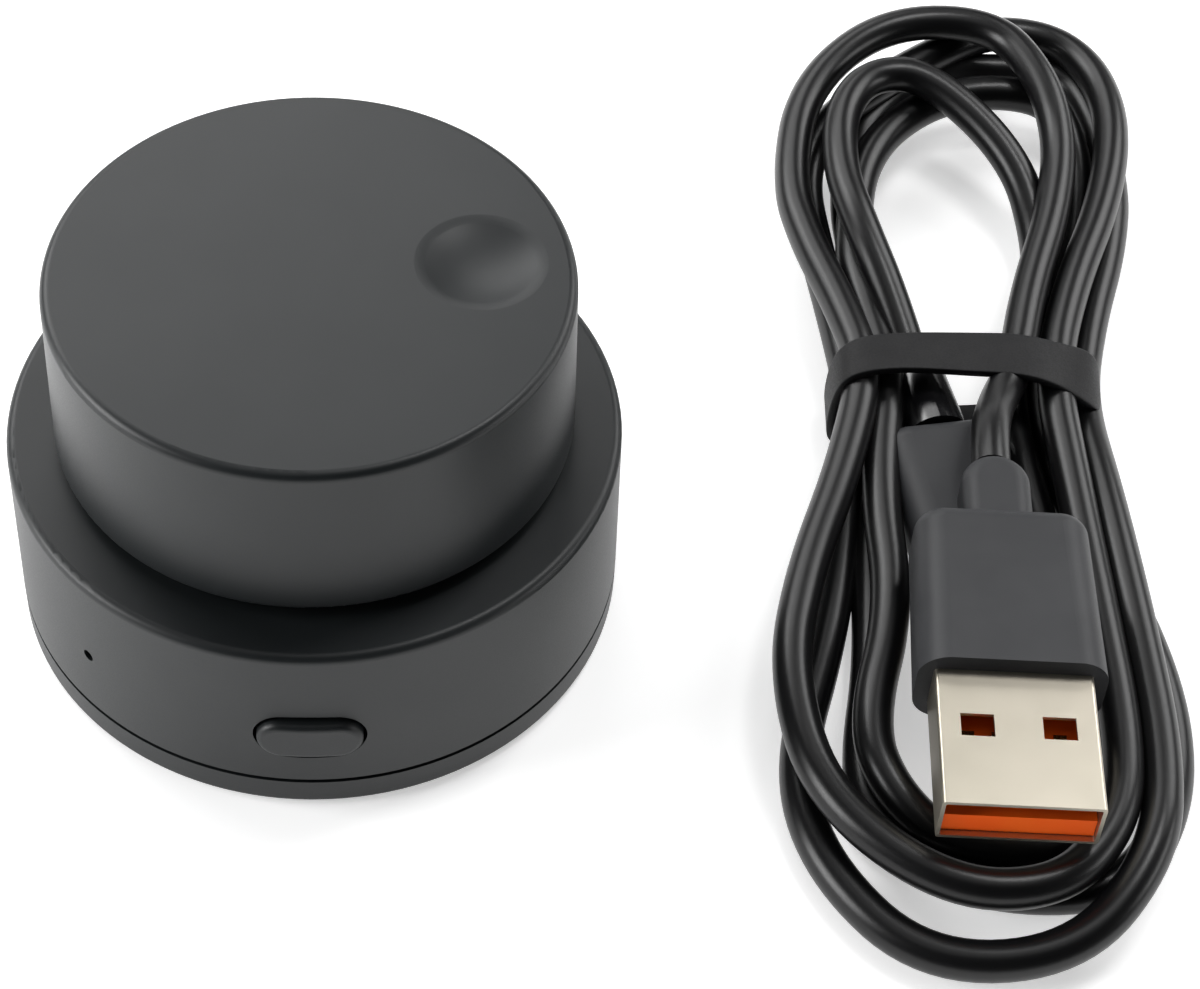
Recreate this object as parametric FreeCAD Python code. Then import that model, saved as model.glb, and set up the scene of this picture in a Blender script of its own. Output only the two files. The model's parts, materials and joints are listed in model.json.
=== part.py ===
"""USB volume control knob with its detachable cable.

A round desk base carries a knob that turns without end and clicks when it is pushed, a mode key, an
indicator hole and a USB-C port. The USB-A to USB-C cable lies beside it as a hank held by a band.

Millimetres, +Z up. The origin is on the desk under the middle of the base. The mode key faces -Y and
the USB-C port +Y. Every piece is written to parts/ as a STEP file of its own.
"""
import FreeCAD, Part
import math
import os

Vector = FreeCAD.Vector
UP = Vector(0, 0, 1)

# ---- clearances ----
FIT = 0.02              # screwed, pressed and glued fits, on the radius
RUNNING = 0.05          # a piece that turns or slides in another, on the radius
SLIP = 0.1              # pieces put together by hand
ROOM = 0.4              # air between pieces that don't touch
BITE = 0.1              # how far shapes run into each other before they are joined
OVERRUN = 1.0           # how far a cutter reaches past what it cuts

# ---- base enclosure ----
BASE_RADIUS = 23.75     # at the seam
BASE_DRAFT = 0.25       # the wall leans in by this much up to the top edge
BASE_HEIGHT = 17.9      # desk to the top face
BASE_WALL = 2.0
BASE_ROOF = 2.0
BASE_EDGE_ROUND = 0.7
SEAM_GAP = 0.4

# ---- bottom cover, foot and ballast ----
COVER_THICKNESS = 2.6
COVER_FLOOR = 2.0       # what is left under the ballast pocket
COVER_EDGE_ROUND = 0.5
SPIGOT_HEIGHT = 2.0
SPIGOT_WALL = 1.1
FOOT_INSET = 2.75       # edge of the cover to edge of the foot
FOOT_THICKNESS = 0.9
FOOT_PROUD = 0.4
FOOT_ROUND = 0.2
BALLAST_THICKNESS = 2.0
BALLAST_BORE_RADIUS = 8.0

# ---- screws: three for the cover, three for the board ----
COVER_POST_ANGLES = (0, 120, 240)
BOARD_POST_ANGLES = (60, 180, 300)
POST_RADIUS = 2.3
BOARD_POST_INSET = 4.9  # edge of the board to the middle of its screws
SCREW_RADIUS = 1.0
COVER_SCREW_LENGTH = 6.0
COVER_HEAD_RADIUS = 1.9
COVER_HEAD_HEIGHT = 0.9
BOARD_SCREW_LENGTH = 5.0
BOARD_HEAD_RADIUS = 1.8
BOARD_HEAD_HEIGHT = 1.2
DRIVE_WIDTH = 0.5       # arms of the cross recess
DRIVE_SPAN = 2.0
DRIVE_DEPTH = 0.6

# ---- circuit board ----
BOARD_THICKNESS = 1.6
BOARD_LIFT = 4.0        # top of the cover to the top of the board
BOARD_GAP = 0.6         # edge of the board to the wall

# ---- mode key and its switch ----
KEY_WIDTH = 7.9
KEY_HEIGHT = 3.75
KEY_PROUD = 0.65
KEY_ROUND = 0.5
KEY_GAP = 0.28
KEY_RIM = 0.35          # chamfer round the key's opening
KEY_TRAVEL = 0.35
KEY_LIP = 1.2           # how far the flange reaches past the key's ends
KEY_LIP_HEIGHT = 0.9    # and past its top and bottom
KEY_FLANGE = 1.0
SWITCH_WIDTH = 6.0
SWITCH_DEPTH = 3.2
SWITCH_HEIGHT = 3.4
SWITCH_AXIS_HEIGHT = 1.7
PLUNGER_WIDTH = 2.4
PLUNGER_HEIGHT = 1.4
PLUNGER_REACH = 1.5
PLUNGER_BURIED = 1.1
SWITCH_BORE_DEPTH = 1.6

# ---- indicator ----
LED_ANGLE = 225         # degrees about +Z from +X
LED_SIZE = (1.6, 0.8, 0.6)
PIPE_AXIS_HEIGHT = 2.5  # above the board
PIPE_RADIUS = 0.48
PIPE_BLOCK = 2.0
PIPE_RECESS = 0.5       # the light hole stays open this deep

# ---- USB-C port ----
PORT_WIDTH = 8.94
PORT_HEIGHT = 3.26
PORT_SHEET = 0.3
PORT_LENGTH = 7.35
PORT_RECESS = 0.7       # the mouth sits this far inside the base's outer wall
PORT_GAP = 0.18
PORT_RIM = 0.3
TONGUE_WIDTH = 6.7
TONGUE_THICKNESS = 0.7
TONGUE_LENGTH = 4.7
PORT_BLOCK = 1.9        # solid insulator behind the tongue
CONTACT_COUNT = 12
CONTACT_PITCH = 0.5
CONTACT_WIDTH = 0.26
CONTACT_LENGTH = 3.4
CONTACT_THICKNESS = 0.05
TAB_THICKNESS = 0.3
TAB_WIDTH = 1.1
TAB_BELOW_BOARD = 0.3

# ---- parts on the board; insets run from the board's edge to their middles ----
CHIP_SIDE = 5.0
CHIP_HEIGHT = 0.9
CHIP_LEADS = 8
CHIP_LEAD_REACH = 0.9
CHIP_LEAD_THICKNESS = 0.2
CHIP_STANDOFF = 0.1
CHIP_INSET = 8.3
CHIP_ANGLE = 22
CRYSTAL_SIZE = (3.2, 2.5, 0.8)
CRYSTAL_INSET = 8.3
CRYSTAL_ANGLE = -22
CAPACITOR_SIZE = (1.6, 0.8, 0.8)
CAPACITOR_INSET = 10.1
CAPACITOR_ANGLES = (100, 130, 150, 170, 195, 215, 250, 325)

# ---- rotary encoder ----
ENCODER_SIDE = 11.7
ENCODER_CASE_HEIGHT = 4.0
ENCODER_PLATE = 2.5
BUSHING_RADIUS = 3.5
SHAFT_RADIUS = 3.0
SHAFT_FLAT = 1.5        # the D's flat, from the axis
TIP_RADIUS = 1.9        # six-sided lower end, corner to axis
TIP_LENGTH = 2.2
LUG_THICKNESS = 0.4
LUG_WIDTH = 2.0
LUG_BELOW_BOARD = 0.8
PIN_SIZE = (0.8, 0.4)
PIN_PITCH = 2.5
PIN_REACH = 0.8
CASE_FLOOR = 0.6
DOME_RADIUS = 2.6
DOME_HEIGHT = 0.8
DOME_SHEET = 0.15
STEM_RADIUS = 1.9
STEM_HEIGHT = 0.7
ROTOR_RADIUS = 4.7
ROTOR_THICKNESS = 1.0
ROTOR_SHELF = 2.6       # case underside to the shelf the rotor turns on
DETENT_SHEET = 0.2
DETENT_WIDTH = 1.1
CLIP_RADIUS = 3.9       # ring that keeps the shaft in the bushing
CLIP_GROOVE_RADIUS = 2.4
CLIP_THICKNESS = 0.45
CLIP_MOUTH = 3.8
CLIP_POCKET = 1.4
WASHER_RADIUS = 5.5
WASHER_THICKNESS = 0.5
NUT_FLATS = 10.0
NUT_THICKNESS = 2.0
THREAD_SPARE = 0.1      # bushing above the nut

# ---- knob ----
KNOB_RADIUS = 19.8      # at the lower edge
KNOB_DRAFT = 0.3
KNOB_HEIGHT = 14.2
KNOB_GAP = 1.2          # base's top face to the knob's lower edge
KNOB_ROOF = 2.3
KNOB_WALL = 1.9
KNOB_EDGE_ROUND = 0.7
KNOB_LIP_ROUND = 0.3
KNOB_TRAVEL = 0.5
DIMPLE_INSET = 7.0      # knob's top edge to the middle of the dimple
DIMPLE_ANGLE = 6.75
DIMPLE_RADIUS = 4.5
DIMPLE_DEPTH = 0.7
DIMPLE_RIM_ROUND = 3.0
HUB_FLANGE = 1.5
HUB_RADIUS = 5.0
HUB_SOCKET_ROOF = 0.9
HUB_RIBS = 6
RIB_THICKNESS = 1.2
RIB_DEPTH = 3.4
RIB_REACH = 16.0

# ---- cable ----
CORD_DIAMETER = 3.2
A_SHELL_WIDTH = 12.0
A_SHELL_HEIGHT = 4.5
A_SHELL_LENGTH = 12.0
A_SHEET = 0.3
A_BODY_WIDTH = 14.4     # at the mouth
A_BODY_BACK_WIDTH = 13.6
A_BODY_HEIGHT = 7.5
A_BODY_LENGTH = 15.4
A_BODY_ROUND = 2.4
A_SHOULDER_ROUND = 1.6
A_NECK_WIDTH = 5.5
A_NECK_HEIGHT = 4.8
A_NECK_ROUND = 1.4
A_NECK_LENGTH = 6.7
CORD_ENTRY = 1.5        # how deep the cord sits in the neck
A_WINDOW = (2.5, 2.0)
A_WINDOW_SPREAD = 6.1
A_WINDOW_BACK = 7.0     # open end to the middle of the windows
A_TONGUE_THICKNESS = 1.9
A_TONGUE_BACK = 0.5     # open end to the tongue
A_CONTACT_COUNT = 4
A_CONTACT_PITCH = 2.3
A_CONTACT_SIZE = (1.0, 6.5, 0.06)
A_CONTACT_BACK = 1.0    # front of the tongue to the contacts
A_MOUTH = Vector(52.4, -20.2, 10.05)    # middle of the overmould's front face
A_YAW = -3.3            # degrees about +Z, 0 points towards -Y
C_SHELL_WIDTH = 8.25
C_SHELL_HEIGHT = 2.4
C_SHELL_LENGTH = 6.65
C_SHEET = 0.2
C_BODY_WIDTH = 10.4
C_BODY_HEIGHT = 5.7
C_BODY_LENGTH = 17.0
C_BODY_ROUND = 2.4
C_SHOULDER_ROUND = 1.6
C_BOOT_RADIUS = 2.8
C_BOOT_END_RADIUS = 2.5
C_BOOT_LENGTH = 6.4
C_MOUTH = Vector(53.6, -5.8, 3.4)
C_YAW = 8.5
HANK_HEIGHT = 7.6
HANK_ROUND = 2.2
BAND_WIDTH = 4.1
BAND_THICKNESS = 0.7
BAND_MIDDLE = Vector(54.2, 15.8, 0)
BAND_SPAN = 23.6
BAND_HEIGHT = 8.8
BAND_YAW = -2.0
BAND_ROUND = 3.0

# The cord's free stretch, from the USB-A plug's neck down to the band. It begins inside the neck.
LEAD_ROUTE = ((54.0, 5.9, 9.8), (55.6, 11.3, 7.4), (57.5, 16.2, 5.4))

# The hank's edge and its two eyes, as places that a smooth closed curve runs through.
HANK_EDGE = (
    (56.3, 63.6), (47.2, 59.6), (40.9, 50.4), (39.2, 37.5), (41.4, 23.0), (43.1, 15.8), (41.4, 6.5),
    (36.6, -6.5), (34.6, -20.0), (38.8, -33.6), (49.5, -40.2), (59.8, -36.6), (67.2, -25.0), (68.2, -12.5),
    (65.7, 4.5), (65.3, 15.8), (69.0, 29.0), (72.8, 46.5), (67.6, 60.2))
UPPER_EYE = ((56.6, 50.4), (50.0, 44.4), (48.3, 38.6), (51.2, 25.0), (57.4, 25.0), (61.3, 35.0), (60.6, 43.6))
LOWER_EYE = ((52.6, -30.8), (47.0, -25.6), (45.4, -17.0), (46.4, -6.0), (51.4, 11.0), (55.4, 11.0),
             (59.6, -5.0), (62.0, -16.5), (60.2, -26.6))

# ---- heights that follow ----
COVER_BOTTOM_Z = FOOT_PROUD
COVER_TOP_Z = COVER_BOTTOM_Z + COVER_THICKNESS
POCKET_Z = COVER_BOTTOM_Z + COVER_FLOOR
SHELL_BOTTOM_Z = COVER_TOP_Z + SEAM_GAP
ROOF_Z = BASE_HEIGHT - BASE_ROOF
BOARD_TOP_Z = COVER_TOP_Z + BOARD_LIFT
BOARD_BOTTOM_Z = BOARD_TOP_Z - BOARD_THICKNESS
CASE_TOP_Z = BOARD_TOP_Z + ENCODER_CASE_HEIGHT
ENCODER_TOP_Z = CASE_TOP_Z + ENCODER_PLATE
NUT_BOTTOM_Z = BASE_HEIGHT + WASHER_THICKNESS
NUT_TOP_Z = NUT_BOTTOM_Z + NUT_THICKNESS
BUSHING_TOP_Z = NUT_TOP_Z + THREAD_SPARE
DOME_BOTTOM_Z = BOARD_TOP_Z + CASE_FLOOR
STEM_BOTTOM_Z = DOME_BOTTOM_Z + DOME_HEIGHT
TIP_BOTTOM_Z = STEM_BOTTOM_Z + STEM_HEIGHT
SHAFT_BOTTOM_Z = TIP_BOTTOM_Z + TIP_LENGTH
ROTOR_Z = BOARD_TOP_Z + ROTOR_SHELF + RUNNING
POCKET_ROOF_Z = CASE_TOP_Z + CLIP_POCKET
KNOB_BOTTOM_Z = BASE_HEIGHT + KNOB_GAP
KNOB_TOP_Z = KNOB_BOTTOM_Z + KNOB_HEIGHT
KNOB_CEILING_Z = KNOB_TOP_Z - KNOB_ROOF
HUB_FLANGE_Z = KNOB_CEILING_Z - HUB_FLANGE
HUB_BOTTOM_Z = BUSHING_TOP_Z + KNOB_TRAVEL + ROOM
SOCKET_TOP_Z = HUB_FLANGE_Z - HUB_SOCKET_ROOF
SHAFT_TOP_Z = SOCKET_TOP_Z - SLIP
KEY_Z = BOARD_TOP_Z + SWITCH_AXIS_HEIGHT
PORT_Z = BOARD_TOP_Z + PORT_HEIGHT / 2
PIPE_Z = BOARD_TOP_Z + PIPE_AXIS_HEIGHT

# ---- radii and places that follow ----
BASE_TOP_RADIUS = BASE_RADIUS - BASE_DRAFT
CAVITY_RADIUS = BASE_TOP_RADIUS - BASE_WALL
SPIGOT_RADIUS = CAVITY_RADIUS - SLIP
SPIGOT_BORE_RADIUS = SPIGOT_RADIUS - SPIGOT_WALL
FOOT_RADIUS = BASE_RADIUS - FOOT_INSET
COVER_POST_CIRCLE = SPIGOT_BORE_RADIUS - POST_RADIUS - 2 * SLIP
BOARD_RADIUS = CAVITY_RADIUS - BOARD_GAP
BOARD_POST_CIRCLE = BOARD_RADIUS - BOARD_POST_INSET
CHIP_CIRCLE = BOARD_RADIUS - CHIP_INSET
CRYSTAL_CIRCLE = BOARD_RADIUS - CRYSTAL_INSET
CAPACITOR_CIRCLE = BOARD_RADIUS - CAPACITOR_INSET
KNOB_TOP_RADIUS = KNOB_RADIUS - KNOB_DRAFT
KNOB_BORE_RADIUS = KNOB_TOP_RADIUS - KNOB_WALL
KEY_FLANGE_HALF = KEY_WIDTH / 2 + KEY_LIP
KEY_FLANGE_Y = -math.sqrt(CAVITY_RADIUS ** 2 - KEY_FLANGE_HALF ** 2) + SLIP
KEY_BACK_Y = KEY_FLANGE_Y + KEY_FLANGE
SWITCH_FRONT_Y = KEY_BACK_Y + PLUNGER_REACH
BOARD_NOTCH_Y = KEY_BACK_Y + KEY_TRAVEL + ROOM


def outer_radius(z):
    """Radius of the base's drafted wall at a height."""
    share = (z - SHELL_BOTTOM_Z) / (BASE_HEIGHT - SHELL_BOTTOM_Z)
    return BASE_RADIUS - BASE_DRAFT * share


PORT_MOUTH_Y = outer_radius(PORT_Z) - PORT_RECESS
PORT_BACK_Y = PORT_MOUTH_Y - PORT_LENGTH


# ---- basic shapes ----
def polar(radius, degrees, z=0.0):
    turn = math.radians(degrees)
    return Vector(radius * math.cos(turn), radius * math.sin(turn), z)


def cylinder(radius, low, high, at=Vector(0, 0, 0)):
    return Part.makeCylinder(radius, high - low, Vector(at.x, at.y, low))


def ring(radius, bore, low, high, at=Vector(0, 0, 0)):
    return cylinder(radius, low, high, at).cut(cylinder(bore, low - OVERRUN, high + OVERRUN, at))


def box(x_from, x_to, y_from, y_to, z_from, z_to):
    size = (x_to - x_from, y_to - y_from, z_to - z_from)
    return Part.makeBox(*size, Vector(x_from, y_from, z_from))


def cap_ball_radius(rim_radius, depth):
    """Radius of the ball whose cap has this rim radius and depth."""
    return (rim_radius ** 2 + depth ** 2) / (2 * depth)


def hexagon(corner_radius, low, high):
    corners = [polar(corner_radius, 60 * step, low) for step in range(7)]
    return Part.Face(Part.makePolygon(corners)).extrude(Vector(0, 0, high - low))


def rounded_outline(width, height, corner):
    """Closed wire in the XZ plane, centred on the origin, with round corners."""
    corner = min(corner, width / 2, height / 2)
    edges = []
    start = None
    for quarter in range(4):
        side_x = 1 if quarter in (0, 3) else -1
        side_z = 1 if quarter < 2 else -1
        middle = Vector(side_x * (width / 2 - corner), 0, side_z * (height / 2 - corner))
        angles = [math.radians(90 * quarter + share * 45) for share in (0, 1, 2)]
        arc = [middle + Vector(math.cos(a), 0, math.sin(a)) * corner for a in angles]
        if start is None:
            first = arc[0]
        elif (arc[0] - start).Length > 1e-6:
            edges.append(Part.makeLine(start, arc[0]))
        edges.append(Part.Arc(*arc).toShape())
        start = arc[2]
    if (first - start).Length > 1e-6:
        edges.append(Part.makeLine(start, first))
    return Part.Wire(edges)


def bar(width, height, corner, y_from, y_to, z=0.0):
    """Rounded bar along Y."""
    solid = Part.Face(rounded_outline(width, height, corner)).extrude(Vector(0, y_to - y_from, 0))
    solid.translate(Vector(0, y_from, z))
    return solid


def flared_cut(width, height, corner, rim, y_in, y_out, z):
    """Cutter for an opening along Y, flared at 45 degrees from one rim before y_out to one rim past it."""
    outward = math.copysign(rim, y_out - y_in)
    straight = bar(width, height, corner, min(y_in, y_out), max(y_in, y_out), z)
    narrow = rounded_outline(width, height, corner)
    narrow.translate(Vector(0, y_out - outward, z))
    flare = 2 * rim
    wide = rounded_outline(width + 2 * flare, height + 2 * flare, corner + flare)
    wide.translate(Vector(0, y_out + outward, z))
    return straight.fuse(Part.makeLoft([narrow, wide], True, True))


def turned_about_z(shape, degrees):
    copy = shape.copy()
    copy.rotate(Vector(0, 0, 0), UP, degrees)
    return copy


def around(maker, angles):
    """One copy of a piece, made at angle zero, at each angle."""
    return [turned_about_z(maker(), degrees) for degrees in angles]


def cut_all(shape, cutters):
    for cutter in cutters:
        shape = shape.cut(cutter)
    return shape


def fuse_all(shapes):
    shapes = list(shapes)
    whole = shapes[0]
    for shape in shapes[1:]:
        whole = whole.fuse(shape)
    return whole.removeSplitter()


def rounded(shape, radius, wanted):
    """Fillet the edges that the test picks."""
    return shape.makeFillet(radius, [edge for edge in shape.Edges if wanted(edge)])


def flat_at(z):
    """Edge test: the whole edge lies at one height."""
    return lambda edge: abs(edge.BoundBox.ZMin - z) < 1e-3 and abs(edge.BoundBox.ZMax - z) < 1e-3


def cross_recess(z, depth, at):
    """Cutter for a cross drive in a screw head at height z, positive depth upwards."""
    low, high = sorted((z, z + depth))
    arms = (DRIVE_SPAN / 2, DRIVE_WIDTH / 2)
    bars = [box(at.x - a, at.x + a, at.y - b, at.y + b, low, high) for a, b in (arms, arms[::-1])]
    return bars[0].fuse(bars[1])


# ---- base enclosure ----
def base_shell():
    wall = Part.makeCone(BASE_RADIUS, BASE_TOP_RADIUS, BASE_HEIGHT - SHELL_BOTTOM_Z,
                         Vector(0, 0, SHELL_BOTTOM_Z))
    wall = rounded(wall, BASE_EDGE_ROUND, flat_at(BASE_HEIGHT))
    shell = wall.cut(cylinder(CAVITY_RADIUS, SHELL_BOTTOM_Z - OVERRUN, ROOF_Z))
    boss = cylinder(BUSHING_RADIUS + BASE_WALL, ENCODER_TOP_Z, ROOF_Z + BITE)
    cover_posts = around(lambda: roof_post(POCKET_Z, COVER_POST_CIRCLE), COVER_POST_ANGLES)
    board_posts = around(lambda: roof_post(BOARD_TOP_Z, BOARD_POST_CIRCLE), BOARD_POST_ANGLES)
    shell = fuse_all([shell, boss] + cover_posts + board_posts)
    return cut_all(shell, shell_openings())


def roof_post(low, circle):
    return cylinder(POST_RADIUS, low, ROOF_Z + BITE, polar(circle, 0))


def shell_openings():
    shaft_hole = cylinder(BUSHING_RADIUS + SLIP, ENCODER_TOP_Z - OVERRUN, BASE_HEIGHT + OVERRUN)
    cover_pilots = around(lambda: screw_pilot(POCKET_Z, COVER_SCREW_LENGTH, COVER_POST_CIRCLE),
                          COVER_POST_ANGLES)
    board_pilots = around(lambda: screw_pilot(BOARD_TOP_Z, BOARD_SCREW_LENGTH, BOARD_POST_CIRCLE),
                          BOARD_POST_ANGLES)
    key_hole = flared_cut(KEY_WIDTH + 2 * KEY_GAP, KEY_HEIGHT + 2 * KEY_GAP, BASE_RADIUS, KEY_RIM,
                          KEY_FLANGE_Y, -outer_radius(KEY_Z), KEY_Z)
    port_hole = flared_cut(PORT_WIDTH + 2 * PORT_GAP, PORT_HEIGHT + 2 * PORT_GAP, BASE_RADIUS, PORT_RIM,
                           CAVITY_RADIUS - BASE_WALL, outer_radius(PORT_Z), PORT_Z)
    light_hole = along_radius(PIPE_RADIUS + FIT, CAVITY_RADIUS - OVERRUN, BASE_RADIUS + OVERRUN, PIPE_Z)
    light_hole = turned_about_z(light_hole, LED_ANGLE)
    return [shaft_hole, key_hole, port_hole, light_hole] + cover_pilots + board_pilots


def screw_pilot(post_end, depth, circle):
    return cylinder(SCREW_RADIUS + FIT, post_end - OVERRUN, post_end + depth, polar(circle, 0))


def along_radius(radius, start, end, z):
    return Part.makeCylinder(radius, end - start, Vector(start, 0, z), Vector(1, 0, 0))


def bottom_cover():
    plate = cylinder(BASE_RADIUS, COVER_BOTTOM_Z, COVER_TOP_Z)
    plate = rounded(plate, COVER_EDGE_ROUND, flat_at(COVER_BOTTOM_Z))
    spigot = cylinder(SPIGOT_RADIUS, COVER_TOP_Z - BITE, COVER_TOP_Z + SPIGOT_HEIGHT)
    pocket = cylinder(SPIGOT_BORE_RADIUS, POCKET_Z, COVER_TOP_Z + SPIGOT_HEIGHT + OVERRUN)
    foot_seat = cylinder(FOOT_RADIUS + SLIP, 0, FOOT_THICKNESS)
    cover = plate.fuse(spigot).removeSplitter()
    return cut_all(cover, [pocket, foot_seat] + around(cover_screw_seat, COVER_POST_ANGLES))


def cover_screw_seat():
    at = polar(COVER_POST_CIRCLE, 0)
    hole = cylinder(SCREW_RADIUS + SLIP, 0, POCKET_Z + OVERRUN, at)
    return hole.fuse(cover_screw_head(at, FIT))


def cover_screw_head(at, margin=0.0):
    return Part.makeCone(COVER_HEAD_RADIUS + margin, SCREW_RADIUS + margin, COVER_HEAD_HEIGHT,
                         Vector(at.x, at.y, FOOT_THICKNESS))


def cover_screw():
    at = polar(COVER_POST_CIRCLE, 0)
    shank = cylinder(SCREW_RADIUS, FOOT_THICKNESS, FOOT_THICKNESS + COVER_SCREW_LENGTH, at)
    screw = cover_screw_head(at).fuse(shank).removeSplitter()
    return screw.cut(cross_recess(FOOT_THICKNESS, DRIVE_DEPTH, at))


def foot_pad():
    pad = cylinder(FOOT_RADIUS, 0, FOOT_THICKNESS)
    return rounded(pad, FOOT_ROUND, flat_at(0))


def ballast_ring():
    plate = ring(SPIGOT_BORE_RADIUS - ROOM, BALLAST_BORE_RADIUS, POCKET_Z, POCKET_Z + BALLAST_THICKNESS)
    top = POCKET_Z + BALLAST_THICKNESS + OVERRUN
    head_holes = around(lambda: cylinder(BOARD_HEAD_RADIUS + ROOM, 0, top, polar(BOARD_POST_CIRCLE, 0)),
                        BOARD_POST_ANGLES)
    return cut_all(plate, post_bites(0, top) + head_holes)


def post_bites(low, high):
    """Cutters that let a disc pass the shell's cover posts, open to the disc's edge."""
    half = POST_RADIUS + ROOM
    return around(lambda: box(COVER_POST_CIRCLE, BASE_RADIUS, -half, half, low, high).fuse(
        cylinder(half, low, high, polar(COVER_POST_CIRCLE, 0))), COVER_POST_ANGLES)


# ---- circuit board and what is soldered to it ----
def main_board():
    plate = cylinder(BOARD_RADIUS, BOARD_BOTTOM_Z, BOARD_TOP_Z)
    low, high = BOARD_BOTTOM_Z - OVERRUN, BOARD_TOP_Z + OVERRUN
    screw_holes = around(lambda: cylinder(SCREW_RADIUS + SLIP, low, high, polar(BOARD_POST_CIRCLE, 0)),
                         BOARD_POST_ANGLES)
    key_notch = box(-KEY_FLANGE_HALF - ROOM, KEY_FLANGE_HALF + ROOM, -BASE_RADIUS, BOARD_NOTCH_Y, low, high)
    lead_holes = [grown(lead, SLIP, low, high) for lead in encoder_leads() + encoder_lugs() + port_tabs()]
    return cut_all(plate, post_bites(low, high) + screw_holes + [key_notch] + lead_holes)


def grown(shape, margin, low, high):
    """Slot through the board for a straight lead."""
    limits = shape.BoundBox
    return box(limits.XMin - margin, limits.XMax + margin,
               limits.YMin - margin, limits.YMax + margin, low, high)


def board_screw():
    at = polar(BOARD_POST_CIRCLE, 0)
    head = cylinder(BOARD_HEAD_RADIUS, BOARD_BOTTOM_Z - BOARD_HEAD_HEIGHT, BOARD_BOTTOM_Z, at)
    shank = cylinder(SCREW_RADIUS, BOARD_BOTTOM_Z - BITE, BOARD_BOTTOM_Z + BOARD_SCREW_LENGTH, at)
    screw = head.fuse(shank).removeSplitter()
    return screw.cut(cross_recess(BOARD_BOTTOM_Z - BOARD_HEAD_HEIGHT, DRIVE_DEPTH, at))


def on_board(size, radius, degrees, lift=0.0):
    """Box lying on the board, its middle at a radius and an angle, its first side along the radius."""
    long_side, short_side, height = size
    low = BOARD_TOP_Z + lift
    block = box(radius - long_side / 2, radius + long_side / 2,
                -short_side / 2, short_side / 2, low, low + height)
    return turned_about_z(block, degrees)


def controller_chip():
    body = on_board((CHIP_SIDE, CHIP_SIDE, CHIP_HEIGHT), CHIP_CIRCLE, CHIP_ANGLE, CHIP_STANDOFF)
    half = CHIP_SIDE / 2
    pitch = CHIP_SIDE / CHIP_LEADS
    leads = []
    for index in range(CHIP_LEADS):
        across = (index - (CHIP_LEADS - 1) / 2) * pitch
        lead = box(-half - CHIP_LEAD_REACH, half + CHIP_LEAD_REACH, across - pitch / 4, across + pitch / 4,
                   BOARD_TOP_Z, BOARD_TOP_Z + CHIP_LEAD_THICKNESS)
        leads += [lead, turned_about_z(lead, 90)]
    frame = fuse_all(leads)
    frame.translate(Vector(CHIP_CIRCLE, 0, 0))
    return body.fuse(turned_about_z(frame, CHIP_ANGLE)).removeSplitter()


def board_parts():
    crystal = on_board(CRYSTAL_SIZE, CRYSTAL_CIRCLE, CRYSTAL_ANGLE)
    return [crystal] + [on_board(CAPACITOR_SIZE, CAPACITOR_CIRCLE, angle) for angle in CAPACITOR_ANGLES]


def indicator_led():
    return on_board(LED_SIZE, pipe_block_radius(), LED_ANGLE)


def pipe_block_radius():
    """Middle of the light pipe's inner block, clear of the wall."""
    return CAVITY_RADIUS - BASE_WALL - PIPE_BLOCK / 2


def light_pipe():
    low = LED_SIZE[2] + SLIP
    block = on_board((PIPE_BLOCK, PIPE_BLOCK, PIPE_AXIS_HEIGHT + PIPE_BLOCK / 2 - low),
                     pipe_block_radius(), 0, low)
    rod = along_radius(PIPE_RADIUS, pipe_block_radius(), outer_radius(PIPE_Z) - PIPE_RECESS, PIPE_Z)
    return turned_about_z(block.fuse(rod).removeSplitter(), LED_ANGLE)


# ---- USB-C port ----
def port_bore(grow=0.0):
    return PORT_WIDTH - 2 * PORT_SHEET + grow, PORT_HEIGHT - 2 * PORT_SHEET + grow


def usb_port_shell():
    tube = bar(PORT_WIDTH, PORT_HEIGHT, PORT_HEIGHT, PORT_BACK_Y, PORT_MOUTH_Y, PORT_Z)
    tube = tube.cut(bar(*port_bore(), PORT_HEIGHT, PORT_BACK_Y - OVERRUN, PORT_MOUTH_Y + OVERRUN, PORT_Z))
    return fuse_all([tube] + port_tabs())


def port_tabs():
    """Four tabs that the shell is soldered down with."""
    outside = PORT_WIDTH / 2
    tabs = []
    for side in (-1, 1):
        x_from, x_to = sorted((side * (outside - TAB_THICKNESS / 2), side * (outside + TAB_THICKNESS / 2)))
        for y_middle in (PORT_BACK_Y + TAB_WIDTH, PORT_BACK_Y + PORT_LENGTH / 2 + TAB_WIDTH / 2):
            tabs.append(box(x_from, x_to, y_middle - TAB_WIDTH / 2, y_middle + TAB_WIDTH / 2,
                            BOARD_BOTTOM_Z - TAB_BELOW_BOARD, PORT_Z))
    return tabs


def usb_port_insulator():
    block = bar(*port_bore(-2 * FIT), PORT_HEIGHT, PORT_BACK_Y, PORT_BACK_Y + PORT_BLOCK, PORT_Z)
    tongue = box(-TONGUE_WIDTH / 2, TONGUE_WIDTH / 2, PORT_BACK_Y, PORT_BACK_Y + PORT_BLOCK + TONGUE_LENGTH,
                 PORT_Z - TONGUE_THICKNESS / 2, PORT_Z + TONGUE_THICKNESS / 2)
    return block.fuse(tongue).removeSplitter()


def usb_port_contacts():
    strips = []
    y_from = PORT_BACK_Y + PORT_BLOCK + ROOM
    for low in (PORT_Z + TONGUE_THICKNESS / 2, PORT_Z - TONGUE_THICKNESS / 2 - CONTACT_THICKNESS):
        for index in range(CONTACT_COUNT):
            x_middle = (index - (CONTACT_COUNT - 1) / 2) * CONTACT_PITCH
            strips.append(box(x_middle - CONTACT_WIDTH / 2, x_middle + CONTACT_WIDTH / 2,
                              y_from, y_from + CONTACT_LENGTH, low, low + CONTACT_THICKNESS))
    return strips


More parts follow.
